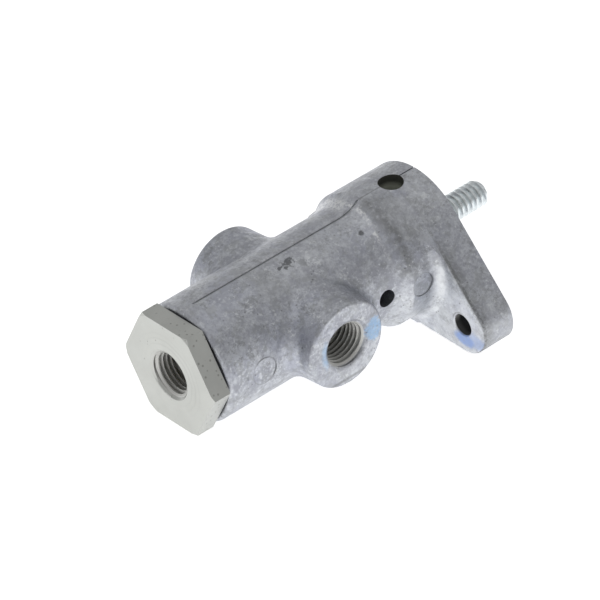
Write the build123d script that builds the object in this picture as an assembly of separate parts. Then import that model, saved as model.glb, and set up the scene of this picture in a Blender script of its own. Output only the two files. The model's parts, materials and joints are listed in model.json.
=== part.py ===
from build123d import *
import math
import os

# Control valve, in millimetres. +X runs along the valve's axis out of the mounting face,
# -Y is the side of the front port, +Z is up towards the apex of the flange.
# The origin is the centre of the mounting face.

# Body barrel and head
barrel_radius = 17.5
barrel_rim_round = 1.3
head_step = 2.6
head_start = -20.7
shoulder_run = 6.8
shoulder_edge_round = 1.6

# Mounting flange
flange_thickness = 10.8
ear_reach = 28.0
ear_drop = 13.3
ear_radius = 8.5
ear_hole_radius = 3.2
ear_hole_rise = 0.35
ear_hole_chamfer = 0.3
flange_front_round = 0.9
flange_root_round = 3.6

# Side ports and their bosses
port_land_gap = 6.4
port_set_back = 34.8
port_thread_radius = 6.8
port_thread_depth = 11.8
port_passage_radius = 5.5
port_chamfer = 0.8
boss_height = 7.4
boss_side_step = 4.75
boss_draft = 5.0
boss_root_round = 4.6
boss_edge_round = 1.0

# Exhaust holes and casting marks
top_hole_station = -9.0
top_hole_radius = 3.55
side_hole_set_back = 0.4
side_hole_radius = 2.6
groove_width = 0.42
groove_depth = 0.4
groove_offset = 0.4
groove_margin = 4.2
barrel_mark_offset = 12.4
barrel_mark_radius = 4.0
barrel_mark_depth = 0.3
head_mark_offset = 3.8
head_mark_radius = 3.5
head_mark_depth = 0.45

# Inlet end cap
hex_across_flats = 31.75
hex_thickness = 5.8
hex_turn = 1.2
hex_face_radius = 17.4
hex_corner_slope = 30.0
gasket_thickness = 0.5
gasket_width = 2.25
spigot_radius = 12.7
spigot_length = 12.0
spigot_clearance = 0.05
thread_relief = 0.5
spigot_wall = 3.1
inlet_thread_depth = 11.0
inlet_orifice_radius = 4.8
inlet_web = 1.4
screen_thickness = 0.6
screen_hole_radius = 0.8
screen_ring_radius = 2.9
screen_ring_holes = 6

# Inlet seat, cage and poppet
seat_bore_step = 1.65
fit_clearance = 0.05
rest_gap = 0.05
seat_thickness = 3.5
seat_lip_height = 1.0
seat_lip_width = 1.0
seat_rim_width = 5.55
seat_groove_depth = 1.1
seat_groove_width = 1.6
cage_wall = 1.55
cage_length = 6.8
disc_overlap = 0.9
disc_thickness = 2.4
cup_wall = 0.9
cup_depth = 1.35
cup_base = 1.55
fin_width = 2.4
fin_count = 3
fin_tail = 1.0
poppet_boss_radius = 5.4
poppet_boss_length = 1.4
inlet_spring_radius = 6.2
inlet_spring_wire = 0.35
inlet_spring_turns = 3.5

# Plunger and stud
plunger_travel = 5.5
poppet_gap = 2.4
contact_gap = 0.02
plunger_bore_radius = 8.0
chamber_overrun = 3.1
land_length = 6.4
land_set_back = 0.1
nose_radius = 4.2
nose_bore_radius = 2.6
shank_step = 2.0
nose_bore_overrun = 2.1
vent_hole_radius = 1.9
vent_offset = 2.7
oring_groove_depth = 1.5
oring_groove_width = 1.9
oring_margin = 0.02
stud_radius = 3.97
stud_reach = 23.0
stem_radius = 4.5
stem_shoulder_gap = 0.1
stud_end_chamfer = 1.0
tail_radius = 3.0
tail_length = 8.8
tail_bore_extra = 0.4
pin_radius = 1.0
pin_offset = 6.0
pin_clearance = 0.02

# Return spring, its seats and clip
washer_thickness = 0.8
washer_width = 4.0
washer_play = 0.6
washer_bore_margin = 0.4
return_spring_wire = 0.6
return_spring_turns = 6.5
spring_play = 0.1
retainer_station = -13.5
retainer_play = 2.0
retainer_thickness = 1.0
retainer_rim_height = 1.4
clip_thickness = 0.9
clip_groove_depth = 0.7
clip_stand = 1.4
clip_opening_angle = 60.0

# Guide bush, wiper and snap ring
bush_bore_clearance = 0.05
bush_seat_width = 1.0
bush_flange_thickness = 3.2
bush_hub_radius = 8.0
bush_hub_length = 5.0
wiper_radius = 6.4
wiper_thickness = 1.8
wiper_cover = 0.65
snap_ring_thickness = 1.1
snap_ring_depth = 0.9
snap_ring_width = 2.3
snap_ring_set_back = 0.8
snap_ring_opening_angle = 40.0

# Places that follow from the sizes above
head_radius = barrel_radius + head_step
head_mark_station = head_start + head_mark_offset
boss_face = barrel_radius + boss_height
boss_radius = barrel_radius - boss_side_step
boss_root_radius = boss_radius + boss_face * math.tan(math.radians(boss_draft))
shoulder_foot = head_start - shoulder_run
side_hole_station = shoulder_foot - side_hole_set_back
plunger_bore_end = shoulder_foot - chamber_overrun
shank_radius = plunger_bore_radius - shank_step
oring_groove_radius = plunger_bore_radius - oring_groove_depth
washer_bore = plunger_bore_radius + washer_bore_margin
washer_outer_radius = washer_bore + washer_width
exhaust_chamber_radius = washer_outer_radius + washer_play
vent_station = plunger_bore_end + vent_offset
nose_bore_end = vent_station + nose_bore_overrun
land_end = plunger_bore_end - land_set_back
land_start = land_end - land_length
port_station = land_start - port_passage_radius - port_land_gap
barrel_end = port_station - port_set_back
barrel_mark_station = barrel_end + barrel_mark_offset
spigot_bore = spigot_radius + spigot_clearance
spring_pocket_radius = spigot_radius - spigot_wall
seat_bore_radius = spigot_radius - seat_bore_step
orifice_radius = seat_bore_radius - seat_rim_width
disc_radius = orifice_radius + seat_lip_width + disc_overlap
gasket_outer_radius = spigot_bore + gasket_width
cap_shoulder = barrel_end - gasket_thickness
cap_face = cap_shoulder - hex_thickness
spigot_end = cap_shoulder + spigot_length
thread_relief_end = spigot_end + thread_relief
inlet_thread_end = cap_face + inlet_thread_depth
pocket_floor = inlet_thread_end + inlet_web
screen_top = pocket_floor + screen_thickness
seat_back = spigot_end + cage_length + seat_thickness
seat_front = seat_back - seat_thickness
seat_lip = seat_front - seat_lip_height
poppet_face = seat_lip - rest_gap
disc_back = poppet_face - disc_thickness
cup_back = disc_back - cup_base
nose_tip = poppet_face + poppet_gap + contact_gap
washer_top = plunger_bore_end + washer_thickness
retainer_outer_radius = exhaust_chamber_radius - retainer_play
return_spring_radius = retainer_outer_radius - retainer_thickness - spring_play - return_spring_wire
bush_flange_radius = exhaust_chamber_radius + bush_seat_width
snap_ring_start = -snap_ring_set_back - snap_ring_thickness
bush_flange_back = snap_ring_start - fit_clearance
bush_flange_front = bush_flange_back - bush_flange_thickness
bush_face = bush_flange_front - bush_hub_length
plunger_end = bush_face - rest_gap
pin_station = plunger_end - pin_offset
clip_start = retainer_station + retainer_thickness
clip_outer_radius = shank_radius + clip_stand
wiper_start = bush_flange_back - wiper_cover - wiper_thickness
stem_shoulder = plunger_travel + stem_shoulder_gap
hex_corner_radius = hex_across_flats / math.sqrt(3)
overcut = 2.0
edge_match = 0.01


def along_x(x):
    """Plane across the valve's axis at x, with its own x direction along +Y."""
    return Plane(origin=(x, 0, 0), x_dir=(0, 1, 0), z_dir=(1, 0, 0))


def rod(radius, start, end):
    """Solid cylinder on the valve's axis from start to end."""
    return extrude(along_x(start) * Circle(radius), amount=end - start)


def tube(outer, inner, start, end):
    """Hollow cylinder on the valve's axis."""
    return rod(outer, start, end) - rod(inner, start - overcut, end + overcut)


def side_rod(radius, start, end, station, height=0.0):
    """Solid cylinder along Y at an X station."""
    plane = Plane(origin=(station, start, height), x_dir=(1, 0, 0), z_dir=(0, 1, 0))
    return extrude(plane * Circle(radius), amount=end - start)


def up_rod(radius, start, end, station):
    """Solid cylinder along Z at an X station."""
    return extrude(Plane.XY.offset(start) * Pos(station, 0) * Circle(radius), amount=end - start)


def ring_seal(inner_radius, outer_radius, station):
    """O-ring whose section just spans the two radii."""
    section = (outer_radius - inner_radius) / 2
    middle = (outer_radius + inner_radius) / 2
    profile = Pos(station, middle) * Circle(section)
    return revolve(Plane.XY * profile, axis=Axis.X)


def open_ring(inner, outer, start, thickness, opening_angle):
    """Snap ring with a gap of the given angle at the bottom."""
    ring = tube(outer, inner, start, start + thickness)
    reach = 2 * outer
    half_width = reach * math.tan(math.radians(opening_angle / 2))
    wedge = Polygon((0, 0), (half_width, -reach), (-half_width, -reach), align=None)
    return ring - extrude(along_x(start - overcut) * wedge, amount=thickness + 2 * overcut)


def mouth_chamfer(radius, size, plane):
    """Cone that breaks the edge of a round mouth; the plane's z points into the hole."""
    wide_end = radius + size + overcut
    upright = (Align.CENTER, Align.CENTER, Align.MIN)
    return plane * Pos(0, 0, -overcut) * Cone(wide_end, radius, size + overcut, align=upright)


def coil_spring(mean_radius, wire_radius, turns, start, end):
    """Compression spring between two seats, as tilted half turns that meet in tangents."""
    half_turns = round(2 * turns)
    low = start + wire_radius + fit_clearance
    rise = (end - wire_radius - fit_clearance - low) / half_turns
    pieces = []
    for k in range(half_turns):
        side = 1 if k % 2 == 0 else -1
        first = Vector(low + k * rise, 0, side * mean_radius)
        last = Vector(low + (k + 1) * rise, 0, -side * mean_radius)
        chord = (last - first).normalized()
        section = Plane(origin=first, x_dir=chord, z_dir=(0, 1, 0)) * Circle(wire_radius)
        turning = Axis((first + last) / 2, Vector(0, side, 0).cross(chord))
        pieces.append(revolve(section, axis=turning, revolution_arc=180))
    return pieces[0] + pieces[1:]


def outer_profile(inset):
    """Turned form of barrel, shoulder and head, drawn in by inset, up to the mounting face."""
    arc_radius = (shoulder_run ** 2 + head_step ** 2) / (2 * head_step)
    sweep_angle = math.asin(shoulder_run / arc_radius)
    middle = sweep_angle / 2
    arc_middle = (
        shoulder_foot + arc_radius * math.sin(middle),
        barrel_radius + arc_radius * (1 - math.cos(middle)) - inset,
    )
    lower = barrel_radius - inset
    upper = head_radius - inset
    with BuildSketch(Plane.XY) as sketch:
        with BuildLine():
            Line((barrel_end, 0), (barrel_end, lower))
            Line((barrel_end, lower), (shoulder_foot, lower))
            ThreePointArc((shoulder_foot, lower), arc_middle, (head_start, upper))
            Line((head_start, upper), (0, upper))
            Line((0, upper), (0, 0))
            Line((0, 0), (barrel_end, 0))
        make_face()
    return revolve(sketch.sketch, axis=Axis.X)


def flange_outline():
    """Triangular outline: the head's circle joined by tangents to the two ears."""
    distance = math.hypot(ear_reach, ear_drop)
    towards_ear = math.atan2(-ear_drop, ear_reach)
    tangent_angle = towards_ear + math.acos((head_radius - ear_radius) / distance)
    cosine, sine = math.cos(tangent_angle), math.sin(tangent_angle)
    apex_touch = (head_radius * cosine, head_radius * sine)
    ear_touch = (ear_reach + ear_radius * cosine, -ear_drop + ear_radius * sine)
    with BuildSketch() as sketch:
        with BuildLine():
            apex_arc = ThreePointArc(
                (-apex_touch[0], apex_touch[1]), (0, head_radius), apex_touch
            )
            Line(apex_touch, ear_touch)
            turn = (tangent_angle - math.pi / 2) / 2
            bulge = (
                ear_reach + ear_radius * math.cos(turn),
                -ear_drop + ear_radius * math.sin(turn),
            )
            bottom = -ear_drop - ear_radius
            ThreePointArc(ear_touch, bulge, (ear_reach, bottom))
            Line((ear_reach, bottom), (-ear_reach, bottom))
            ThreePointArc((-ear_reach, bottom), (-bulge[0], bulge[1]), (-ear_touch[0], ear_touch[1]))
            Line((-ear_touch[0], ear_touch[1]), (-apex_touch[0], apex_touch[1]))
        make_face()
    return sketch.sketch


def flange_root():
    """Concave round between head and flange, kept inside the flange's outline."""
    foot = -flange_thickness - flange_root_round
    heel = -flange_thickness + flange_front_round
    reach = head_radius + flange_root_round
    middle = flange_root_round * (1 - math.sqrt(0.5))
    with BuildSketch(Plane.XY) as sketch:
        with BuildLine():
            Line((foot, head_radius - overcut), (foot, head_radius))
            ThreePointArc(
                (foot, head_radius),
                (-flange_thickness - middle, head_radius + middle),
                (-flange_thickness, reach),
            )
            Line((-flange_thickness, reach), (heel, reach))
            Line((heel, reach), (heel, head_radius - overcut))
            Line((heel, head_radius - overcut), (foot, head_radius - overcut))
        make_face()
    ring = revolve(sketch.sketch, axis=Axis.X)
    return ring & extrude(along_x(foot) * flange_outline(), amount=heel - foot)


def outer_casting():
    """Outside of the casting: barrel, shoulder, head, flange and side bosses with their rounds."""
    turned = outer_profile(0)
    rim = turned.edges().filter_by(GeomType.CIRCLE).sort_by(Axis.X)[0]
    turned = fillet(rim, barrel_rim_round)
    shoulder = [
        edge for edge in turned.edges().filter_by(GeomType.CIRCLE)
        if abs(edge.center().X - head_start) < edge_match
    ]
    turned = fillet(shoulder, shoulder_edge_round)

    flange = extrude(along_x(-flange_thickness) * flange_outline(), amount=flange_thickness)
    front_face = flange.faces().sort_by(Axis.X)[0]
    flange = fillet(front_face.edges(), flange_front_round)

    casting = turned
    for side in (-1, 1):
        inside_out = Plane(origin=(port_station, 0, 0), x_dir=(1, 0, 0), z_dir=(0, side, 0))
        upright = (Align.CENTER, Align.CENTER, Align.MIN)
        casting += inside_out * Cone(boss_root_radius, boss_radius, boss_face, align=upright)
    crease = [
        edge for edge in casting.edges()
        if edge.geom_type not in (GeomType.CIRCLE, GeomType.LINE)
        and abs(edge.center().X - port_station) < boss_root_radius
    ]
    casting = fillet(crease, boss_root_round)
    boss_rims = [
        edge for edge in casting.edges().filter_by(GeomType.CIRCLE)
        if abs(abs(edge.center().Y) - boss_face) < edge_match
    ]
    casting = fillet(boss_rims, boss_edge_round)
    return casting + flange + flange_root()


def parting_groove():
    """Thin groove that the joint of the two die halves leaves along the top."""
    skin = outer_profile(0) - outer_profile(groove_depth)
    start = barrel_end + groove_margin
    long_slab = Pos(start, groove_offset, 0) * Box(
        head_start - start, groove_width, 2 * head_radius,
        align=(Align.MIN, Align.CENTER, Align.MIN),
    )
    notch_length = -(top_hole_station + top_hole_radius)
    notch_slab = Pos(0, groove_offset, 0) * Box(
        notch_length, groove_width, 2 * head_radius,
        align=(Align.MAX, Align.CENTER, Align.MIN),
    )
    return (skin & long_slab) + (skin & notch_slab)


def add_casting_marks(casting):
    """Flat round marks that the ejector pins leave, one sunk in the barrel and one in the head."""
    barrel_flat = barrel_radius - barrel_mark_depth
    casting -= side_rod(barrel_mark_radius, -head_radius, -barrel_flat, barrel_mark_station)
    plug_depth = seat_bore_radius + overcut
    casting += side_rod(barrel_mark_radius, -barrel_flat, -plug_depth, barrel_mark_station)
    head_flat = head_radius - head_mark_depth
    return casting - side_rod(head_mark_radius, -head_radius - overcut, -head_flat, head_mark_station)


def machined_bores():
    """Stepped bore along the axis, from the cap's thread to the snap ring's groove."""
    snap_groove = rod(
        bush_flange_radius + fit_clearance + snap_ring_depth,
        snap_ring_start - oring_margin,
        -snap_ring_set_back + oring_margin,
    )
    return (
        rod(spigot_bore, barrel_end - overcut, thread_relief_end)
        + rod(seat_bore_radius, barrel_end - overcut, seat_back)
        + rod(plunger_bore_radius, barrel_end - overcut, 0)
        + rod(exhaust_chamber_radius, plunger_bore_end, 0)
        + rod(bush_flange_radius + fit_clearance, bush_flange_front, overcut)
        + snap_groove
    )


def port_bores():
    """Both side ports: thread bore, mouth chamfer and the passage between them."""
    passage = side_rod(port_passage_radius, -boss_face, boss_face, port_station)
    bottom = boss_face - port_thread_depth
    outside = boss_face + overcut
    for side in (-1, 1):
        passage += side_rod(port_thread_radius, side * bottom, side * outside, port_station)
        mouth = Plane(origin=(port_station, side * boss_face, 0), x_dir=(1, 0, 0), z_dir=(0, -side, 0))
        passage += mouth_chamfer(port_thread_radius, port_chamfer, mouth)
    return passage


def exhaust_holes():
    """Drilled exhaust outlets: one up through the head, one out of the front of the shoulder."""
    top = up_rod(top_hole_radius, 0, head_radius + overcut, top_hole_station)
    side = side_rod(side_hole_radius, -head_radius - overcut, 0, side_hole_station)
    return top + side


def ear_holes():
    """Two bolt holes through the ears, their front edges chamfered."""
    holes = []
    start = along_x(-flange_thickness - overcut)
    depth = flange_thickness + 2 * overcut
    for side in (-1, 1):
        centre = Pos(side * ear_reach, ear_hole_rise - ear_drop)
        mouth = along_x(-flange_thickness) * centre
        holes.append(extrude(start * centre * Circle(ear_hole_radius), amount=depth))
        holes.append(mouth_chamfer(ear_hole_radius, ear_hole_chamfer, mouth))
    return holes


def valve_body():
    """Casting with its machined bores, ports, exhaust holes and casting marks."""
    casting = add_casting_marks(outer_casting())
    casting -= parting_groove()
    casting -= machined_bores()
    casting -= port_bores()
    casting -= exhaust_holes()
    return casting - ear_holes()


def end_cap():
    """Hexagonal cap with turned corners: inlet thread, orifice, spring pocket and screwed spigot."""
    hexagon = along_x(cap_face) * RegularPolygon(hex_corner_radius, 6, rotation=-hex_turn)
    slope = math.tan(math.radians(hex_corner_slope))
    turned_reach = hex_face_radius + hex_thickness / slope
    upright = (Align.CENTER, Align.CENTER, Align.MIN)
    turned = along_x(cap_face) * Cone(hex_face_radius, turned_reach, hex_thickness, align=upright)
    cap = (extrude(hexagon, amount=hex_thickness) & turned) + rod(spigot_radius, cap_shoulder, spigot_end)
    cap -= rod(port_thread_radius, cap_face - overcut, inlet_thread_end)
    cap -= rod(inlet_orifice_radius, cap_face, spigot_end)
    cap -= rod(spring_pocket_radius, pocket_floor, spigot_end + overcut)
    return cap - mouth_chamfer(port_thread_radius, port_chamfer, along_x(cap_face))


def end_cap_gasket():
    """Flat gasket between the cap's shoulder and the end of the barrel."""
    return tube(gasket_outer_radius, spigot_bore, cap_shoulder, barrel_end)


def inlet_screen():
    """Strainer disc on the floor of the spring pocket, with a ring of holes."""
    screen = rod(spring_pocket_radius - fit_clearance, pocket_floor, screen_top)
    ring = PolarLocations(screen_ring_radius, screen_ring_holes)
    start = along_x(pocket_floor - overcut)
    return screen - [
        extrude(start * place * Circle(screen_hole_radius), amount=screen_thickness + 2 * overcut)
        for place in [Pos(0, 0)] + list(ring)
    ]


def cage_bore():
    """Radius in which the poppet's fins slide."""
    return seat_bore_radius - fit_clearance - cage_wall


def inlet_valve_cage():
    """Tube between the cap's spigot and the seat: it clamps the seat and guides the poppet."""
    return tube(seat_bore_radius - fit_clearance, cage_bore(), spigot_end, seat_front)


def seat_groove_radius():
    """Floor of the groove round the seat ring."""
    return seat_bore_radius - fit_clearance - seat_groove_depth


def inlet_seat():
    """Seat ring with a raised lip round its orifice and a groove for its seal."""
    middle = (seat_front + seat_back) / 2
    seat = rod(seat_bore_radius - fit_clearance, seat_front, seat_back)
    seat += rod(orifice_radius + seat_lip_width, seat_lip, seat_front)
    seat -= rod(orifice_radius, seat_lip - overcut, seat_back + overcut)
    groove = tube(
        seat_bore_radius + overcut, seat_groove_radius(),
        middle - seat_groove_width / 2, middle + seat_groove_width / 2,
    )
    return seat - groove


def inlet_seat_oring():
    """Seal in the seat ring's groove."""
    middle = (seat_front + seat_back) / 2
    return ring_seal(seat_groove_radius() + oring_margin, seat_bore_radius - oring_margin, middle)


def inlet_valve_carrier():
    """Poppet: a cup for the rubber face, guide fins and a boss that centres the spring."""
    cup_radius = disc_radius + oring_margin + cup_wall
    cup_rim = disc_back + cup_depth
    fin_reach = cage_bore() - fit_clearance
    bar_length = cup_rim - cup_back + fin_tail
    carrier = rod(cup_radius, cup_back, cup_rim)
    fins = []
    for k in range(fin_count):
        bar = Pos(cup_back - fin_tail, 0, 0) * Box(
            bar_length, fin_width, fin_reach + overcut,
            align=(Align.MIN, Align.CENTER, Align.MIN),
        )
        fins.append(Rotation(k * 360 / fin_count, 0, 0) * bar)
    fin_ring = tube(fin_reach, cup_radius - cup_wall / 2, cup_back - fin_tail, cup_rim)
    for fin in fins:
        carrier += fin & fin_ring
    carrier += rod(poppet_boss_radius, cup_back - poppet_boss_length, cup_back)
    return carrier - rod(disc_radius + oring_margin, disc_back, cup_rim + overcut)


def inlet_valve_disc():
    """Rubber face of the poppet."""
    return rod(disc_radius, disc_back, poppet_face)


def inlet_spring():
    """Spring that closes the poppet."""
    return coil_spring(
        inlet_spring_radius, inlet_spring_wire, inlet_spring_turns, screen_top, cup_back,
    )


def oring_stations():
    """Middles of the two grooves on the plunger's land."""
    web = (land_length - 2 * oring_groove_width) / 3
    inset = web + oring_groove_width / 2
    return (land_start + inset, land_end - inset)


def plunger():
    """Hollow plunger: nose, grooved land, vented shank, clip groove and socket for the stud."""
    body = rod(nose_radius, nose_tip, land_start)
    body += rod(plunger_bore_radius - fit_clearance, land_start, land_end)
    body += rod(shank_radius, land_end, plunger_end)
    for station in oring_stations():
        body -= tube(
            plunger_bore_radius + overcut, oring_groove_radius,
            station - oring_groove_width / 2, station + oring_groove_width / 2,
        )
    body -= rod(nose_bore_radius, nose_tip - overcut, nose_bore_end)
    reach = shank_radius + overcut
    body -= side_rod(vent_hole_radius, -reach, reach, vent_station)
    body -= up_rod(vent_hole_radius, -reach, reach, vent_station)
    body -= tube(
        reach, shank_radius - clip_groove_depth,
        clip_start - oring_margin, clip_start + clip_thickness + oring_margin,
    )
    socket_floor = plunger_end - tail_length - tail_bore_extra
    body -= rod(tail_radius + fit_clearance, socket_floor, plunger_end + overcut)
    return body - up_rod(pin_radius + pin_clearance, -reach, reach, pin_station)


def plunger_stud():
    """Tail in the plunger, plain stem through the bush and the stud that carries the thread."""
    stem = rod(stud_radius, stem_shoulder, stud_reach)
    tip = stem.edges().filter_by(GeomType.CIRCLE).sort_by(Axis.X)[-1]
    stem = chamfer(tip, stud_end_chamfer)
    stem += rod(stem_radius, plunger_end, stem_shoulder)
    stem += rod(tail_radius, plunger_end - tail_length, plunger_end)
    return stem - up_rod(pin_radius + pin_clearance, -shank_radius, shank_radius, pin_station)


def stud_pin():
    """Cross pin that locks the stud in the plunger."""
    reach = shank_radius - fit_clearance
    return up_rod(pin_radius, -reach, reach, pin_station)


def plunger_seal(station):
    """O-ring on the plunger's land."""
    return ring_seal(oring_groove_radius + oring_margin, plunger_bore_radius - oring_margin, station)


def spring_seat_washer():
    """Washer that keeps the return spring off the casting."""
    return tube(washer_outer_radius, washer_bore, plunger_bore_end, washer_top)


def return_spring():
    """Spring that pushes the plunger out."""
    return coil_spring(
        return_spring_radius, return_spring_wire, return_spring_turns, washer_top, retainer_station,
    )


def spring_retainer():
    """Dished washer on the plunger that takes the return spring's thrust."""
    plate = tube(
        retainer_outer_radius, shank_radius + fit_clearance,
        retainer_station, retainer_station + retainer_thickness,
    )
    rim = tube(
        retainer_outer_radius, retainer_outer_radius - retainer_thickness,
        retainer_station - retainer_rim_height, retainer_station,
    )
    return plate + rim


def retainer_clip():
    """Snap ring in the plunger's groove, behind the retainer."""
    inner = shank_radius - clip_groove_depth + oring_margin
    return open_ring(inner, clip_outer_radius, clip_start, clip_thickness, clip_opening_angle)


def guide_bush():
    """Flanged bush that guides the stem, with an inner groove for the wiper."""
    bush = rod(bush_flange_radius, bush_flange_front, bush_flange_back)
    bush += rod(bush_hub_radius, bush_face, bush_flange_front)
    bush -= rod(stem_radius + bush_bore_clearance, bush_face - overcut, overcut)
    return bush - rod(wiper_radius + oring_margin, wiper_start, wiper_start + wiper_thickness)


def stem_wiper():
    """Rubber wiper round the stem."""
    return tube(wiper_radius, stem_radius + bush_bore_clearance, wiper_start, wiper_start + wiper_thickness)


def bush_snap_ring():
    """Internal snap ring that holds the bush in the head."""
    outer = bush_flange_radius + snap_ring_depth
    return open_ring(
        outer - snap_ring_width, outer, snap_ring_start, snap_ring_thickness, snap_ring_opening_angle,
    )


front_station, rear_station = oring_stations()
pieces = {
    "valve_body": valve_body(),
    "end_cap": end_cap(),
    "end_cap_gasket": end_cap_gasket(),
    "inlet_screen": inlet_screen(),
    "inlet_spring": inlet_spring(),
    "inlet_valve_cage": inlet_valve_cage(),
    "inlet_valve_carrier": inlet_valve_carrier(),
    "inlet_valve_disc": inlet_valve_disc(),
    "inlet_seat": inlet_seat(),
    "inlet_seat_oring": inlet_seat_oring(),
    "plunger": plunger(),
    "plunger_front_oring": plunger_seal(front_station),
    "plunger_rear_oring": plunger_seal(rear_station),
    "plunger_stud": plunger_stud(),
    "stud_pin": stud_pin(),
    "spring_seat_washer": spring_seat_washer(),
    "return_spring": return_spring(),
    "spring_retainer": spring_retainer(),
    "retainer_clip": retainer_clip(),
    "guide_bush": guide_bush(),
    "stem_wiper": stem_wiper(),
    "bush_snap_ring": bush_snap_ring(),
}

os.makedirs("parts", exist_ok=True)
for name, shape in pieces.items():
    export_step(shape, f"parts/{name}.step")
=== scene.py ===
import json
import math

import bpy
from mathutils import Matrix, Vector

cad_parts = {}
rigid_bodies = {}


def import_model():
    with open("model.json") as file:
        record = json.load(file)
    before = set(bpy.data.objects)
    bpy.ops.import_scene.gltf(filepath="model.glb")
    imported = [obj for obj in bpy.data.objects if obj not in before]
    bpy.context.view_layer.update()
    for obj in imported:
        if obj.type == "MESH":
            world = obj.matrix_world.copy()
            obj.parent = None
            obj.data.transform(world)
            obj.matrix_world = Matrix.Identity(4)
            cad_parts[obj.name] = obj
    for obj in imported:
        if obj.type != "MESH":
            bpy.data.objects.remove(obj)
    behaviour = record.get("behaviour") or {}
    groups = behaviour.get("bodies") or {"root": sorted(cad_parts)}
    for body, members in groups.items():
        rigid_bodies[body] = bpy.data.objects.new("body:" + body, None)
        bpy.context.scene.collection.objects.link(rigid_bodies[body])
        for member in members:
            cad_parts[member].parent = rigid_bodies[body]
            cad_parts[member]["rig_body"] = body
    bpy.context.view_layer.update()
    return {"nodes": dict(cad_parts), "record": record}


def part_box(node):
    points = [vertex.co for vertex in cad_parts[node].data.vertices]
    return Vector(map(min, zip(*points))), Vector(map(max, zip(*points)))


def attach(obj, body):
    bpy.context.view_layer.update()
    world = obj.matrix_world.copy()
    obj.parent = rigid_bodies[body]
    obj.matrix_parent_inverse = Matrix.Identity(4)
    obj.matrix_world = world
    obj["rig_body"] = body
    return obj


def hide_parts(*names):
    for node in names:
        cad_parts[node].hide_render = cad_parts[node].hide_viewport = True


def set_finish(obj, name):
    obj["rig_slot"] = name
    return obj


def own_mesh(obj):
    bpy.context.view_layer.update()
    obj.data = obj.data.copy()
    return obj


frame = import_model()

# Lengths are in metres, in the valve's own frame: +X out of the mounting face along the stud,
# -Y towards the front port, +Z up to the flange's apex.
MM = 0.001
mounts = {mount["name"]: mount for mount in frame["record"]["mounts"]}
nodes = frame["nodes"]

# Camera, fitted to the photograph's frame
camera_place = Vector((-0.71687, -0.83746, 0.80533))
camera_forward = Vector((0.50117, 0.62344, -0.60012))
camera_up = Vector((0.43978, 0.41377, 0.79711))
camera_lens = 300.0
camera_sensor = 36.0

# Pipe threads
pipe_pitch = 1.411 * MM
pipe_tooth_height = 0.88 * MM
pipe_lead_in = 2.4 * MM
pipe_mouth_share = 0.22
pipe_end_share = 0.05
pipe_taper = 1 / 32
port_mouth_chamfer = 0.8 * MM
inlet_thread_depth = 10.8 * MM
side_thread_depth = 11.2 * MM

# Stud
stud_pitch = 1.75 * MM
stud_thread_depth = 0.72 * MM
stud_end_chamfer = 1.0 * MM
stud_thread_overlap = 0.3 * MM
stud_tail_radius = 3.0 * MM
stud_edge = 0.25 * MM

# Mesh finish, with the angles in degrees up to which faces are shaded smooth
thread_steps = 72
merge_distance = 0.001 * MM
end_merge_distance = 0.002 * MM
port_thread_angle = 30
stud_thread_angle = 32
stem_angle = 30
coil_angle = 40

# Tints, in linear light
cast_dark = (0.40, 0.41, 0.455)
cast_middle = (0.56, 0.58, 0.62)
# Pale tint of specks, flakes and bloom, also used for the painted light inside the groove
cast_light = (0.80, 0.82, 0.84)
cast_cool = (0.42, 0.44, 0.54)
# Tint of the painted light on the flange front, underside, top and the head's lower side
painted_light_tint = (0.84, 0.86, 0.88)
# Tint of the painted highlight along the shoulder
shoulder_highlight_tint = (0.92, 0.93, 0.94)
# Dark tint for specks, smudges and flow marks, and for painted shade on the head, the flange rim,
# beside the groove and round the ejector marks
grime_and_shade_tint = (0.24, 0.245, 0.25)
cast_pit = (0.14, 0.14, 0.15)
# Tint of random blotches and the smoky patch, also used for painted shade on the flange's lower rim
blotch_and_shade_tint = (0.34, 0.35, 0.36)
stain_tint = (0.11, 0.115, 0.12)
bore_tint = (0.56, 0.56, 0.54)
# Painted shade under the mouth of the hole on top, and painted light deeper in it
top_hole_shade = (0.07, 0.072, 0.062)
top_hole_light = (0.60, 0.62, 0.54)
# Painted shade deep in the bolt holes, and painted light near their mouths
bolt_hole_shade = (0.04, 0.042, 0.042)
bolt_hole_lit = (0.62, 0.62, 0.60)
machined_tint = (0.575, 0.585, 0.56)
machined_face_tint = (0.56, 0.57, 0.545)
machined_ring = (0.40, 0.41, 0.39)
machined_pit = (0.22, 0.22, 0.2)
zinc_tint = (0.88, 0.93, 0.95)
marker_blue = (0.35, 0.50, 0.88)
marker_pale = (0.42, 0.66, 0.96)

# Places on the casting
port_station = mounts["front_port"]["pos_m"][0]
bolt_offset = mounts["mounting_bolts"]["dims"]["spacing_x_mm"] / 2 * MM
bolt_height = mounts["mounting_bolts"]["pos_m"][2]
barrel_radius = 17.5 * MM
barrel_rim = 1.3 * MM
body_bore = 12.9 * MM
head_start = -20.7 * MM
boss_face = 24.9 * MM
flange_front = -10.8 * MM
groove_line = 0.4 * MM
groove_half_width = 0.21 * MM
groove_start = -79.55 * MM
top_hole = -9.0 * MM
top_hole_radius = 3.55 * MM
hole_arc_radius = 3.8 * MM
barrel_mark = (-71.4 * MM, 4.0 * MM)
head_mark = (-16.9 * MM, 3.5 * MM)

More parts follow.
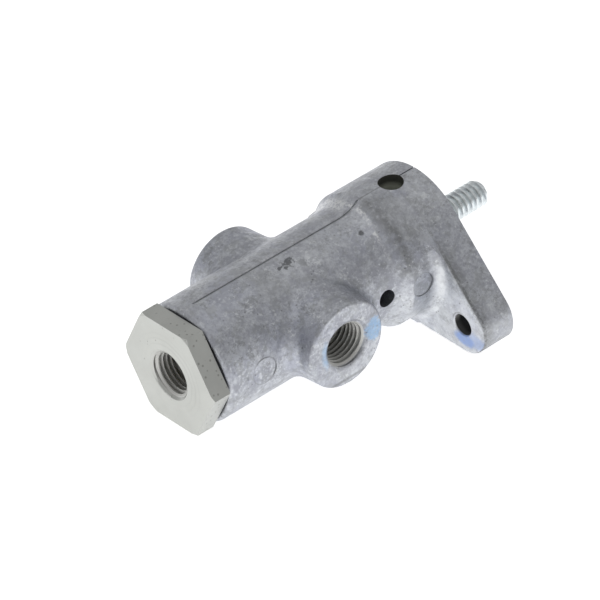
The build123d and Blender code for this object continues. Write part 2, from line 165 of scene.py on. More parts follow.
# Marks on the casting, each with its place and radius in millimetres. A stain has a third number,
# by which distances along X are scaled: under 1, the stain is longer that way.
smoky_patch = ((-59.5, -6.5, 16.2), 4.6)
shoulder_pit = ((-26.7, -7.4, 16.3), 0.85)
scaly_places = (
    ((-44.2, -7.2, 16.0), 2.6), ((-67.8, -8.8, 15.1), 2.3),
    ((-53.9, -13.8, 10.7), 2.0), ((-71.8, -9.5, 14.7), 1.6),
)
stain_places = (
    ((-49.6, -3.7, 17.1), 1.15, 0.7), ((-51.6, -4.9, 16.8), 0.5, 0.6),
    ((-53.0, -4.1, 17.0), 0.55, 0.5), ((-48.3, -3.3, 17.2), 0.5, 0.7),
)

# Floor, world and lamp
floor_size = 3.0
floor_tint = (0.86, 0.86, 0.86)
floor_roughness = 0.9
floor_glow = 0.76
world_light = 0.50
world_seen = 1.0
lamp_place = (-0.1, 0.1, 1.6)
lamp_size = 1.4
lamp_power = 1.5


def body_of(node):
    """Name of the body that carries a node."""
    return nodes[node]["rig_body"]


def low(node, axis):
    """Lowest coordinate of a node along an axis, at rest."""
    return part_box(node)[0][axis]


def high(node, axis):
    """Highest coordinate of a node along an axis, at rest."""
    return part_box(node)[1][axis]


def at(place):
    """Place in metres from one in millimetres."""
    return tuple(value * MM for value in place)


def shade(tint, share):
    """A darker tint, with a share of the light."""
    return tuple(share * channel for channel in tint)


# Mesh work

def deselect_all():
    bpy.ops.object.select_all(action="DESELECT")


def apply_modifiers(piece):
    bpy.context.view_layer.objects.active = piece
    for modifier in list(piece.modifiers):
        bpy.ops.object.modifier_apply(modifier=modifier.name)


def profile_object(name, points):
    """Open edge chain in the XZ plane through the points (radius, height), from one vertex."""
    deselect_all()
    bpy.ops.mesh.primitive_plane_add(size=MM, location=(0, 0, 0))
    piece = bpy.context.object
    piece.name = name
    bpy.ops.object.mode_set(mode="EDIT")
    bpy.ops.mesh.merge(type="CENTER")
    bpy.ops.transform.translate(value=(points[0][0], 0, points[0][1]))
    for before, after in zip(points, points[1:]):
        step = (after[0] - before[0], 0, after[1] - before[1])
        bpy.ops.mesh.extrude_vertices_move(TRANSFORM_OT_translate={"value": step})
    bpy.ops.object.mode_set(mode="OBJECT")
    return piece


def close_profile(piece):
    """Joins the profile's two ends, so that it turns into a closed ridge."""
    bpy.context.view_layer.objects.active = piece
    bpy.ops.object.mode_set(mode="EDIT")
    bpy.ops.mesh.select_all(action="SELECT")
    bpy.ops.mesh.edge_face_add()
    bpy.ops.mesh.delete(type="ONLY_FACE")
    bpy.ops.object.mode_set(mode="OBJECT")


def screw(piece, turns, pitch):
    """Turns the profile round Z, climbing by one pitch a turn."""
    modifier = piece.modifiers.new("turn", "SCREW")
    modifier.axis = "Z"
    modifier.angle = 2 * math.pi
    modifier.screw_offset = pitch
    modifier.iterations = turns
    modifier.steps = thread_steps
    modifier.render_steps = thread_steps
    modifier.use_merge_vertices = True
    modifier.merge_threshold = merge_distance
    apply_modifiers(piece)


def place_vertex(vertex, radius, height):
    """Moves a vertex out or in to a radius round Z, and up or down to a height."""
    share = radius / math.hypot(vertex.co.x, vertex.co.y)
    vertex.co.x *= share
    vertex.co.y *= share
    vertex.co.z = height


def close_ends(piece):
    """Merges doubles, fills the open ends and turns the faces outwards."""
    bpy.context.view_layer.objects.active = piece
    bpy.ops.object.mode_set(mode="EDIT")
    bpy.ops.mesh.select_all(action="SELECT")
    bpy.ops.mesh.remove_doubles(threshold=end_merge_distance)
    bpy.ops.mesh.delete_loose()
    bpy.ops.mesh.select_all(action="SELECT")
    bpy.ops.mesh.fill_holes(sides=0)
    bpy.ops.mesh.select_all(action="SELECT")
    bpy.ops.mesh.normals_make_consistent(inside=False)
    bpy.ops.object.mode_set(mode="OBJECT")


def seat(piece, place, direction):
    """Moves a piece modelled along +Z so that its origin is at place and +Z points along direction."""
    turn = Vector((0, 0, 1)).rotation_difference(Vector(direction)).to_matrix().to_4x4()
    piece.data.transform(Matrix.Translation(Vector(place)) @ turn)
    piece.data.update()


def smooth(piece, degrees):
    """Smooth shading up to an angle between faces."""
    deselect_all()
    piece.select_set(True)
    bpy.context.view_layer.objects.active = piece
    bpy.ops.object.shade_smooth_by_angle(angle=math.radians(degrees))


def pipe_thread(name, mount, depth):
    """Ridge of a tapered pipe thread inside a port, cut back by the countersink of the mouth."""
    wall = mounts[mount]["dims"]["r_mm"] * MM
    buried = wall + 0.06 * MM
    skin = 0.02 * MM
    crest = wall - pipe_tooth_height
    half = 0.49 * pipe_pitch
    flat = 0.1 * pipe_pitch
    lip = 0.05 * MM
    piece = profile_object(name, [
        (buried, -half), (wall - skin, -half + 0.5 * flat), (crest, -flat),
        (crest, flat), (wall - skin, half - 0.5 * flat), (buried, half),
    ])
    close_profile(piece)
    screw(piece, math.ceil(depth / pipe_pitch), pipe_pitch)
    for vertex in piece.data.vertices:
        height = min(max(vertex.co.z, lip), depth)
        rise = math.hypot(vertex.co.x, vertex.co.y) - wall
        if rise < -2 * skin:
            lead_in = pipe_mouth_share + (1 - pipe_mouth_share) * height / pipe_lead_in
            run_out = pipe_end_share + (depth - height) / pipe_pitch
            rise = rise * min(1.0, lead_in, run_out) - height * pipe_taper
        place_vertex(vertex, wall + max(0.0, port_mouth_chamfer - height) + rise, height)
    close_ends(piece)
    seat(piece, port_mouth(mount), -Vector(mounts[mount]["axis"]))
    smooth(piece, port_thread_angle)
    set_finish(piece, body_slot(mount))
    return piece


def port_mouth(mount):
    """Centre of a port's mouth on its outer face."""
    entry = mounts[mount]
    reach = entry["dims"]["length_mm"] * MM / 2 + port_mouth_chamfer
    return Vector(entry["pos_m"]) + reach * Vector(entry["axis"])


def body_slot(mount):
    """Material slot of the solid that a port is cut in."""
    return "machined_aluminium" if mount == "inlet_port" else "cast_aluminium"


def threaded_stud():
    """Stem and thread of the stud, in place of the plain solid."""
    start = low("plunger_stud", 0)
    end = high("plunger_stud", 0)
    stem = high("plunger_stud", 2)
    pin = mounts["knob_stud"]
    crest = pin["dims"]["r_mm"] * MM
    root = crest - stud_thread_depth
    thread_start = pin["pos_m"][0] - pin["dims"]["length_mm"] / 2 * MM
    length = end - thread_start
    root_end = 0.0875 * stud_pitch
    crest_start = 0.4 * stud_pitch
    piece = profile_object("stud_thread", [
        (root, 0), (root, root_end), (crest, crest_start),
        (crest, stud_pitch - crest_start), (root, stud_pitch - root_end), (root, stud_pitch),
    ])
    screw(piece, math.ceil(length / stud_pitch) + 2, stud_pitch)
    for vertex in piece.data.vertices:
        height = min(max(vertex.co.z - stud_pitch, -stud_thread_overlap), length)
        radius = math.hypot(vertex.co.x, vertex.co.y)
        place_vertex(vertex, min(radius, crest - stud_end_chamfer + (length - height)), height)
    close_ends(piece)
    seat(piece, (thread_start, 0, 0), (1, 0, 0))
    smooth(piece, stud_thread_angle)

    tail = stud_tail_radius
    stem_start = low("guide_bush", 0) - 0.05 * MM
    stem_piece = profile_object("stud_stem", [
        (0, start), (tail - stud_edge, start), (tail, start + stud_edge),
        (tail, stem_start), (stem, stem_start),
        (stem, thread_start - stud_edge), (stem - stud_edge, thread_start), (0, thread_start),
    ])
    screw(stem_piece, 1, 0)
    close_ends(stem_piece)
    seat(stem_piece, (0, 0, 0), (1, 0, 0))
    smooth(stem_piece, stem_angle)
    for part in (piece, stem_piece):
        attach(part, body_of("plunger_stud"))
        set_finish(part, "zinc_plated_steel")
    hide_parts("plunger_stud")
    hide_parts("plunger_stud")
    return [piece, stem_piece]


def shortening_springs():
    """Springs as pieces of their own, copied from their nodes, merged, smoothed and attached to their
    bodies.
    """
    springs = []
    for joint in frame["record"]["behaviour"]["joints"]:
        for entry in joint.get("deforming_nodes", []):
            node = entry["node"]
            coils = bpy.data.objects.new(node + "_coils", nodes[node].data.copy())
            bpy.context.scene.collection.objects.link(coils)
            deselect_all()
            bpy.context.view_layer.objects.active = coils
            coils.select_set(True)
            bpy.ops.object.mode_set(mode="EDIT")
            bpy.ops.mesh.select_all(action="SELECT")
            bpy.ops.mesh.remove_doubles(threshold=merge_distance)
            bpy.ops.object.mode_set(mode="OBJECT")
            smooth(coils, coil_angle)
            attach(coils, body_of(node))
            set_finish(coils, "spring_steel")
            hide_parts(node)
            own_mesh(coils)
            springs.append(coils)
    return springs


# Materials

class Surface:
    """A procedural material: its node tree, its shader and short ways to add nodes."""

    def __init__(self, name):
        self.material = bpy.data.materials.new(name)
        self.material.use_nodes = True
        self.tree = self.material.node_tree
        self.shader = self.tree.nodes["Principled BSDF"]
        self.place = self.add("ShaderNodeTexCoord").outputs["Object"]

    def add(self, kind, **settings):
        """New node of a kind, with its settings."""
        node = self.tree.nodes.new(kind)
        for key, value in settings.items():
            setattr(node, key, value)
        return node

    def link(self, source, target):
        self.tree.links.new(source, target)

    def feed(self, value, socket):
        """Gives a socket a number, a tint or another node's output."""
        if isinstance(value, (int, float)):
            socket.default_value = value
        elif isinstance(value, tuple):
            socket.default_value = (*value, 1)
        else:
            self.link(value, socket)

    def noise(self, size, detail=3.0, rough=0.55):
        """Noise whose features are about size wide."""
        node = self.add("ShaderNodeTexNoise")
        node.inputs["Scale"].default_value = 1 / size
        node.inputs["Detail"].default_value = detail
        node.inputs["Roughness"].default_value = rough
        self.link(self.place, node.inputs["Vector"])
        return node.outputs["Fac"]

    def cells(self, size):
        """Distance from the nearest of scattered points, in cells about size wide."""
        node = self.add("ShaderNodeTexVoronoi")
        node.inputs["Scale"].default_value = 1 / size
        self.link(self.place, node.inputs["Vector"])
        return node.outputs["Distance"]

    def axis(self, letter):
        """Coordinate along X, Y or Z."""
        node = self.add("ShaderNodeSeparateXYZ")
        self.link(self.place, node.inputs["Vector"])
        return node.outputs[letter]

    def distance(self, centre, scale=(1, 1, 1)):
        """Distance from a place, stretched by scale."""
        moved = self.add("ShaderNodeMapping")
        shift = [-middle * stretch for middle, stretch in zip(centre, scale)]
        moved.inputs["Location"].default_value = shift
        moved.inputs["Scale"].default_value = scale
        self.link(self.place, moved.inputs["Vector"])
        length = self.add("ShaderNodeVectorMath", operation="LENGTH")
        self.link(moved.outputs["Vector"], length.inputs[0])
        return length.outputs["Value"]

    def ramp(self, value, start, end, low_value=0.0, high_value=1.0):
        """Smooth change of a number from low_value to high_value as value goes from start to end."""
        node = self.add("ShaderNodeMapRange", interpolation_type="SMOOTHSTEP")
        node.inputs["From Min"].default_value = start
        node.inputs["From Max"].default_value = end
        node.inputs["To Min"].default_value = low_value
        node.inputs["To Max"].default_value = high_value
        self.link(value, node.inputs["Value"])
        return node.outputs["Result"]

    def fall(self, value, start, end, last=0.0):
        """Smooth fall from 1 to last as value goes from start to end."""
        return self.ramp(value, start, end, 1.0, last)

    def math(self, operation, *values):
        """One step of arithmetic on numbers or sockets."""
        node = self.add("ShaderNodeMath", operation=operation)
        for value, socket in zip(values, node.inputs):
            self.feed(value, socket)
        return node.outputs["Value"]

    def chain(self, operation, values):
        """The same step of arithmetic from each value to the next."""
        result = values[0]
        for value in values[1:]:
            result = self.math(operation, result, value)
        return result

    def times(self, *values):
        return self.chain("MULTIPLY", values)

    def plus(self, *values):
        return self.chain("ADD", values)

    def minus(self, *values):
        return self.chain("SUBTRACT", values)

    def most(self, *values):
        return self.chain("MAXIMUM", values)

    def gap(self, value, middle):
        """How far a value is from middle, on either side."""
        return self.math("ABSOLUTE", self.minus(value, middle))

    def spot(self, centre, radius, soft, ragged, grain=1.5 * MM, scale=(1, 1, 1)):
        """1 inside a round spot, 0 outside, with a soft and ragged edge."""
        wobble = self.times(self.minus(self.noise(grain), 0.5), 2 * ragged * radius)
        reach = self.plus(self.distance(centre, scale), wobble)
        return self.fall(reach, radius * (1 - soft), radius * (1 + soft))

    def mix(self, share, first, second):
        """Colour between first and second."""
        node = self.add("ShaderNodeMix", data_type="RGBA")
        self.feed(share, node.inputs["Factor"])
        colour_sockets = [socket for socket in node.inputs if socket.type == "RGBA"]
        for value, socket in zip((first, second), colour_sockets):
            self.feed(value, socket)
        return [socket for socket in node.outputs if socket.type == "RGBA"][0]

    def over(self, colour, tint, mask, strength):
        """Colour with a tint laid on it where mask is 1, as strongly as strength."""
        return self.mix(self.times(mask, strength), colour, tint)

    def bump(self, height, strength, depth):
        """Fine relief of the surface."""
        node = self.add("ShaderNodeBump")
        node.inputs["Strength"].default_value = strength
        node.inputs["Distance"].default_value = depth
        self.link(height, node.inputs["Height"])
        self.link(node.outputs["Normal"], self.shader.inputs["Normal"])

    def finish(self, colour, roughness, metallic):
        """Sets the shader's inputs from numbers, tints or sockets."""
        for name, value in (("Base Color", colour), ("Roughness", roughness), ("Metallic", metallic)):
            self.feed(value, self.shader.inputs[name])
        return self.material


def cast_aluminium():
    """Die-cast skin: cool grey with a mottled grain, pale specks, grime, stains and paint dabs, and
    painted light and shade on its faces, creases, groove and holes.
    """
    skin = Surface("cast_aluminium")
    patches = skin.noise(9 * MM, detail=2.0)
    mottle = skin.noise(2.6 * MM, detail=6.0, rough=0.7)
    speckle = skin.noise(0.85 * MM, detail=4.0, rough=0.75)
    grain = skin.noise(0.4 * MM, detail=2.0, rough=0.7)
    tone = skin.plus(skin.times(mottle, 0.45), skin.times(speckle, 0.35), skin.times(patches, 0.2))
    colour = mottled_skin(skin, tone, patches)
    # Painted light on the flange front and root, the underside, the top and the head's lower side
    colour = skin.over(colour, painted_light_tint, painted_light_zones(skin), 0.85)
    # Painted shade on the head's upper front quarter and in the shoulder's crease
    colour = skin.over(colour, grime_and_shade_tint, head_crease_shade(skin), 0.4)

    scaly = skin.ramp(skin.noise(6 * MM, detail=2.0), 0.48, 0.60)
    pale = skin.times(skin.ramp(speckle, 0.56, 0.66), skin.plus(skin.times(scaly, 0.6), 0.2))
    colour = skin.over(colour, cast_light, pale, 0.75)
    specks = skin.times(skin.ramp(speckle, 0.40, 0.30), skin.plus(skin.times(scaly, 0.5), 0.25))
    colour = skin.over(colour, grime_and_shade_tint, specks, 0.7)
    few = skin.ramp(skin.noise(4 * MM), 0.50, 0.58)
    pits = skin.times(skin.ramp(skin.cells(1.9 * MM), 0.16, 0.08), few)
    colour = skin.over(colour, cast_pit, pits, 0.6)
    colour = skin.over(colour, grime_and_shade_tint, flow_marks(skin), skin.plus(skin.times(scaly, 0.4), 0.15))
    # Painted shade on the lower part of the flange's rim
    colour = skin.over(colour, blotch_and_shade_tint, flange_foot_shade(skin), 0.3)
    place, size = smoky_patch
    smoke = skin.spot(at(place), size * MM, soft=0.5, ragged=0.5, grain=3 * MM)
    colour = skin.over(colour, blotch_and_shade_tint, smoke, 0.3)
    flakes = skin.noise(1.0 * MM, detail=4.0, rough=0.7)
    rough_skin = scale_clusters(skin)
    colour = skin.over(colour, grime_and_shade_tint, rough_skin, skin.ramp(flakes, 0.50, 0.42, 0.0, 0.35))
    colour = skin.over(colour, cast_light, rough_skin, skin.ramp(flakes, 0.52, 0.62, 0.0, 0.6))

    # Painted shade on the flange rim, beside the groove and round the ejector marks, with a fine dark
    # line over the head and a dark arc above a bolt hole
    grime_and_shade = skin.most(
        skin.times(rim_shade(skin), 0.95),
        skin.times(groove_shade_and_line(skin), 0.62),
        skin.times(ejector_ring_shade(skin), 0.4),
        skin.times(hole_arc(skin), 0.55),
    )
    colour = skin.mix(grime_and_shade, colour, grime_and_shade_tint)
    # Painted highlight along the shoulder
    colour = skin.over(colour, shoulder_highlight_tint, shoulder_highlight(skin), 0.8)
    # Painted light inside the groove on top of the barrel
    colour = skin.over(colour, cast_light, groove_painted_light(skin), 0.8)
    paint = ear_dab(skin)
    colour = skin.over(colour, marker_blue, paint, skin.ramp(speckle, 0.34, 0.5, 0.6, 0.88))
    pale_paint = port_dabs(skin)
    colour = skin.over(colour, marker_pale, pale_paint, 0.72)
    colour = skin.over(colour, stain_tint, dark_stains(skin), 0.75)

    bore = inner_bores(skin)
    colour = skin.mix(bore, colour, bore_tint)
    open_hole = top_hole_wall(skin)
    # Painted shade on the hole's wall just under its mouth, painted light deeper down
    deeper = skin.ramp(skin.axis("Z"), 18.2 * MM, 15.8 * MM)
    colour = skin.mix(open_hole, colour, skin.mix(deeper, top_hole_shade, top_hole_light))
    bolt_holes = bolt_bores(skin)
    colour = skin.mix(bolt_holes, colour, bolt_hole_wall(skin))

    rough = skin.most(skin.ramp(tone, 0.40, 0.60, 0.50, 0.38), skin.times(bore, 0.5))
    painted = skin.most(paint, pale_paint)
    hole_walls = skin.most(open_hole, bolt_holes)
    metal = skin.minus(1.0, skin.times(painted, 0.4), skin.times(hole_walls, 0.85))
    height = skin.plus(skin.times(speckle, 0.5), skin.times(mottle, 0.8), skin.times(grain, 0.15))
    skin.bump(skin.minus(height, skin.times(pits, 0.3)), 0.6, 0.3 * MM)
    return skin.finish(colour, rough, metal)


def mottled_skin(skin, tone, patches):
    """The casting's own grey, with cool patches, blotches, smudges and a pale bloom."""
    colour = skin.mix(skin.ramp(tone, 0.42, 0.58), cast_dark, cast_middle)
    cool = skin.ramp(skin.noise(13 * MM, detail=3.0), 0.48, 0.62)
    colour = skin.over(colour, cast_cool, cool, 0.35)
    blotch = skin.ramp(skin.noise(3.2 * MM, detail=5.0, rough=0.66), 0.50, 0.60)
    colour = skin.over(colour, blotch_and_shade_tint, blotch, 0.5)
    smudge = skin.times(
        skin.ramp(skin.noise(1.9 * MM, detail=6.0, rough=0.78), 0.55, 0.60),
        skin.ramp(patches, 0.48, 0.58),
    )
    colour = skin.over(colour, grime_and_shade_tint, smudge, 0.5)
    bloom = skin.times(
        skin.ramp(skin.noise(2.4 * MM, detail=5.0, rough=0.72), 0.56, 0.64),
        skin.ramp(skin.noise(10 * MM), 0.46, 0.56),
    )
    return skin.over(colour, cast_light, bloom, 0.5)


def painted_light_zones(skin):
    """Painted light: paler skin on the flange front and root, underside, top and the head's lower side.
    """
    along = skin.axis("X")
    height = skin.axis("Z")
    front = skin.times(
        skin.ramp(along, flange_front - 3.2 * MM, flange_front - 0.6 * MM),
        skin.fall(along, flange_front - 0.4 * MM, flange_front - 0.1 * MM, 0.55),
        skin.fall(along, flange_front + 0.2 * MM, flange_front + 0.5 * MM),
        skin.ramp(height, 9 * MM, 1 * MM),
    )
    head = skin.times(
        skin.ramp(along, head_start - 7 * MM, head_start),
        skin.ramp(height, 4 * MM, -5 * MM),
        skin.ramp(along, flange_front + 0.2 * MM, flange_front + 0.5 * MM, 0.6, 0.0),
    )
    under = skin.ramp(height, 0.0, -12 * MM, 0.0, 0.3)
    top = skin.ramp(height, 12 * MM, 17 * MM, 0.0, 0.22)
    uneven = skin.ramp(skin.noise(3.5 * MM, detail=4.0, rough=0.6), 0.40, 0.58, 0.55, 1.0)
    return skin.times(skin.most(front, head, under, top), uneven)


def flow_marks(skin):
    """Fine wavering outlines that the metal left where it chilled in the mould."""
    drift = skin.noise(2.0 * MM, detail=5.0, rough=0.62)
    outline = skin.fall(skin.gap(drift, 0.5), 0.006, 0.022)
    return skin.times(outline, skin.ramp(skin.noise(4.5 * MM, detail=2.0), 0.46, 0.58))


def scale_clusters(skin):
    """Places on the barrel's upper front where the skin is scaly."""
    return skin.most(*[
        skin.spot(at(place), size * MM, soft=0.4, ragged=0.5, grain=2 * MM)
        for place, size in scaly_places
    ])


def hole_arc(skin):
    """Thin dark arc above the front bolt hole, towards the valve's axis."""
    reach = skin.distance((0, -bolt_offset, bolt_height), (0, 1, 1))
    return skin.times(
        skin.fall(skin.gap(reach, hole_arc_radius), 0.1 * MM, 0.35 * MM),
        skin.ramp(skin.axis("Y"), -bolt_offset - 0.5 * MM, -bolt_offset + 1 * MM),
        skin.ramp(skin.axis("Z"), bolt_height, bolt_height + 1.5 * MM),
        skin.fall(skin.axis("X"), flange_front + 0.1 * MM, flange_front + 0.3 * MM),
    )


def flange_foot_shade(skin):
    """Painted shade on the lower part of the flange's rim, darker towards the bottom."""
    return skin.times(
        skin.ramp(skin.axis("X"), flange_front + 0.2 * MM, flange_front + 0.6 * MM),
        skin.ramp(skin.axis("Z"), -4 * MM, -12 * MM),
    )


def head_crease_shade(skin):
    """Painted shade on the head's upper front quarter and in the crease of the shoulder."""
    along = skin.axis("X")
    band = skin.times(
        skin.ramp(along, head_start - 1.2 * MM, head_start + 0.6 * MM),
        skin.fall(along, head_start + 5 * MM, head_start + 10 * MM),
    )
    crease = skin.times(
        skin.ramp(along, head_start - 2.2 * MM, head_start - 0.9 * MM),
        skin.fall(along, head_start + 1.0 * MM, head_start + 3.4 * MM),
    )
    return skin.times(
        skin.plus(band, crease),
        skin.ramp(skin.axis("Y"), 1 * MM, -2.5 * MM),
        skin.ramp(skin.axis("Z"), 2 * MM, 7 * MM),
        skin.ramp(skin.noise(2.2 * MM, detail=4.0, rough=0.65), 0.36, 0.56, 0.4, 1.0),
    )


def rim_shade(skin):
    """Painted shade: a dark, speckled line and a darker band on the flange's rim, beside its front
    edge, strongest low down.
    """
    along = skin.axis("X")
    band = skin.ramp(along, flange_front + 2.2 * MM, flange_front + 4.6 * MM, 0.55, 0.0)
    line = skin.fall(along, flange_front + 1.0 * MM, flange_front + 1.7 * MM)
    return skin.times(
        skin.ramp(along, flange_front + 0.1 * MM, flange_front + 0.4 * MM),
        skin.most(band, line),
        skin.ramp(skin.axis("Z"), 13 * MM, 4 * MM, 0.25, 1.0),
        skin.ramp(skin.noise(0.9 * MM, detail=4.0, rough=0.7), 0.38, 0.56, 0.35, 1.0),
    )


def groove_shade_and_line(skin):
    """Painted shade beside the groove on top of the barrel, and a fine dark line on over the head."""
    along = skin.axis("X")
    offset = skin.gap(skin.axis("Y"), groove_line)
    beside_groove = skin.times(
        skin.fall(offset, 0.22 * MM, 0.6 * MM),
        skin.fall(along, head_start - 0.5 * MM, head_start),
        skin.ramp(along, -80.5 * MM, -78 * MM),
    )
    on_head = skin.times(
        skin.fall(offset, 0.1 * MM, 0.3 * MM),
        skin.ramp(along, head_start - 0.5 * MM, head_start),
    )
    return skin.times(skin.most(beside_groove, on_head), skin.ramp(skin.axis("Z"), 0.0, 5 * MM))


def groove_painted_light(skin):
    """Painted light inside the groove on top of the barrel, lifting the shade of the narrow slot."""
    along = skin.axis("X")
    offset = skin.gap(skin.axis("Y"), groove_line)
    edge = 0.005 * MM
    return skin.times(
        skin.fall(offset, groove_half_width - edge, groove_half_width + edge),
        skin.ramp(along, groove_start - 0.05 * MM, groove_start + 0.05 * MM),
        skin.fall(along, head_start - 0.5 * MM, head_start),
        skin.ramp(skin.axis("Z"), 0.0, 5 * MM),
    )


def ejector_ring_shade(skin):
    """Painted shade in thin dark rings round the two ejector marks on the front side."""
    rings = []
    for station, radius in (barrel_mark, head_mark):
        reach = skin.distance((station, 0, 0), (1, 0, 1))
        rings.append(skin.fall(skin.gap(reach, radius), 0.08 * MM, 0.35 * MM))
    return skin.times(skin.most(*rings), skin.fall(skin.axis("Y"), -12 * MM, -10 * MM))


def shoulder_highlight(skin):
    """Painted highlight along the shoulder, pale and speckled: a thin line in front, a broad patch on
    the far side.
    """
    along = skin.axis("X")
    height = skin.axis("Z")
    bend = skin.ramp(height, 15 * MM, 19.5 * MM, head_start - 3.3 * MM, head_start - 1.7 * MM)
    line = skin.times(
        skin.fall(skin.gap(along, bend), 0.2 * MM, 0.7 * MM),
        skin.ramp(height, 6 * MM, 15 * MM, 0.0, 0.9),
        skin.ramp(skin.noise(2.2 * MM, detail=3.0, rough=0.6), 0.40, 0.58, 0.1, 1.0),
    )
    broad = skin.times(
        skin.ramp(along, head_start - 6 * MM, head_start - 4 * MM),
        skin.fall(along, head_start - 2 * MM, head_start - 0.5 * MM),
        skin.ramp(skin.axis("Y"), 1 * MM, 4 * MM, 0.0, 0.85),
        skin.ramp(height, 6 * MM, 13 * MM),
    )
    specks = skin.ramp(skin.noise(0.8 * MM, detail=4.0, rough=0.7), 0.40, 0.56, 0.1, 1.0)
    return skin.times(skin.most(line, broad), specks)


def ear_dab(skin):
    """Blue marker paint on the front ear, just below its hole."""
    near = skin.spot(
        (flange_front, -28.8 * MM, -17.3 * MM), 3.4 * MM, soft=0.3, ragged=0.25, scale=(1, 0.9, 1.6),
    )
    far = skin.spot(
        (flange_front, -33.0 * MM, -16.2 * MM), 3.2 * MM, soft=0.45, ragged=0.3, scale=(1, 0.8, 1.35),
    )
    on_front = skin.fall(skin.axis("X"), flange_front + 0.15 * MM, flange_front + 0.6 * MM)
    return skin.times(skin.most(near, skin.times(far, 0.5)), on_front)


def port_dabs(skin):
    """Pale blue marker paint on the front port's face, on both sides of its hole."""
    right = skin.spot(
        (-39.4 * MM, -boss_face, 0.3 * MM), 3.0 * MM,
        soft=0.25, ragged=0.5, grain=0.9 * MM, scale=(1.15, 1, 0.85),
    )
    left = skin.spot(
        (-56.4 * MM, -boss_face, 0.4 * MM), 2.6 * MM, soft=0.5, ragged=0.4, scale=(2.0, 1, 0.7),
    )
    specks = skin.ramp(skin.noise(0.8 * MM, detail=3.0), 0.35, 0.55, 0.55, 1.0)
    return skin.times(skin.most(right, skin.times(left, 0.7)), specks)


def dark_stains(skin):
    """Dark stain beside the groove, in ragged parts, and a dark pit on the shoulder."""
    stains = [
        skin.spot(at(place), size * MM, soft=0.25, ragged=1.6, grain=0.75 * MM, scale=(stretch, 1, 1))
        for place, size, stretch in stain_places
    ]
    place, size = shoulder_pit
    pit = skin.spot(at(place), size * MM, soft=0.3, ragged=0.4, grain=0.5 * MM)
    return skin.most(*stains, pit)


def inner_bores(skin):
    """Machined walls inside the body: its long bore and the two side ports."""
    from_axis = skin.distance((0, 0, 0), (0, 1, 1))
    from_port = skin.distance((port_station, 0, 0), (1, 0, 1))
    mouth = mounts["front_port"]["dims"]["r_mm"] * MM
    return skin.most(
        skin.fall(from_axis, body_bore - 0.3 * MM, body_bore + 0.3 * MM),
        skin.fall(from_port, mouth - 0.3 * MM, mouth + 0.1 * MM),
    )


def top_hole_wall(skin):
    """Wall of the exhaust hole on top of the head."""
    reach = skin.distance((top_hole, 0, 0), (1, 1, 0))
    inside = skin.fall(reach, top_hole_radius + 0.02 * MM, top_hole_radius + 0.07 * MM)
    return skin.times(inside, skin.ramp(skin.axis("Z"), 12.5 * MM, 13.0 * MM))


def bolt_bores(skin):
    """Walls of the two bolt holes through the ears."""
    side = skin.minus(skin.math("ABSOLUTE", skin.axis("Y")), bolt_offset)
    rise = skin.minus(skin.axis("Z"), bolt_height)
    reach = skin.math("SQRT", skin.plus(skin.math("POWER", side, 2.0), skin.math("POWER", rise, 2.0)))
    bore = mounts["mounting_bolts"]["dims"]["hole_r_mm"] * MM
    return skin.times(
        skin.fall(reach, bore + 0.02 * MM, bore + 0.2 * MM),
        skin.ramp(skin.axis("X"), flange_front + 0.2 * MM, flange_front + 0.6 * MM),
    )


def bolt_hole_wall(skin):
    """Colour of a bolt hole's wall: painted shade, but for painted light on its upper part near the
    mouth.
    """
    lit = skin.times(
        skin.ramp(skin.axis("Z"), -14 * MM, -11.5 * MM, 0.12, 1.0),
        skin.fall(skin.axis("X"), flange_front + 1.3 * MM, flange_front + 2.6 * MM, 0.05),
    )
    return skin.mix(lit, bolt_hole_shade, bolt_hole_lit)


def machined_aluminium():
    """Turned cap: warm pale grey, faint tool rings on the face and small pits on the flats."""
    skin = Surface("machined_aluminium")
    reach = skin.distance((0, 0, 0), (0, 1, 1))
    cap_front = low("end_cap", 0)
    on_face = skin.fall(skin.axis("X"), cap_front + 0.1 * MM, cap_front + 0.4 * MM)
    on_flats = skin.minus(1.0, on_face)
    wash = skin.ramp(skin.noise(8 * MM, detail=3.0), 0.3, 0.7)
    flats = skin.mix(wash, shade(machined_tint, 0.92), machined_tint)
    face = skin.mix(wash, shade(machined_face_tint, 0.94), machined_face_tint)
    colour = skin.mix(on_face, flats, face)

    wobble = skin.times(skin.noise(5 * MM), 1.2 * MM)
    rings = skin.math("SINE", skin.times(skin.plus(reach, wobble), 2 * math.pi / (1.6 * MM)))
    near_port = skin.times(skin.ramp(reach, 8.2 * MM, 9.0 * MM), skin.fall(reach, 11.5 * MM, 13.5 * MM))
    upper = skin.ramp(skin.minus(skin.axis("Z"), skin.axis("Y")), -6 * MM, 12 * MM, 0.15, 1.0)
    ring_tone = skin.times(skin.ramp(rings, 0.0, 1.0), on_face, near_port, upper)
    colour = skin.over(colour, machined_ring, ring_tone, 0.28)

    front_flats = skin.ramp(skin.axis("Y"), -6 * MM, -11 * MM)
    few = skin.times(skin.most(skin.ramp(skin.noise(4 * MM), 0.46, 0.56), front_flats), on_flats)
    sparse = skin.times(skin.ramp(skin.noise(3 * MM), 0.6, 0.66), on_face)
    pits = skin.times(skin.ramp(skin.cells(1.6 * MM), 0.26, 0.12), skin.plus(few, sparse), 0.6)
    colour = skin.mix(pits, colour, machined_pit)
    bore = mounts["inlet_port"]["dims"]["r_mm"] * MM
    colour = skin.mix(skin.fall(reach, bore + 0.05 * MM, bore + 0.25 * MM), colour, bore_tint)
    grain = skin.times(skin.noise(0.5 * MM, detail=2.0), 0.6)
    skin.bump(skin.minus(grain, pits), 0.25, 0.08 * MM)
    return skin.finish(colour, skin.ramp(reach, bore - 0.1 * MM, bore + 0.1 * MM, 0.5, 0.4), 1.0)


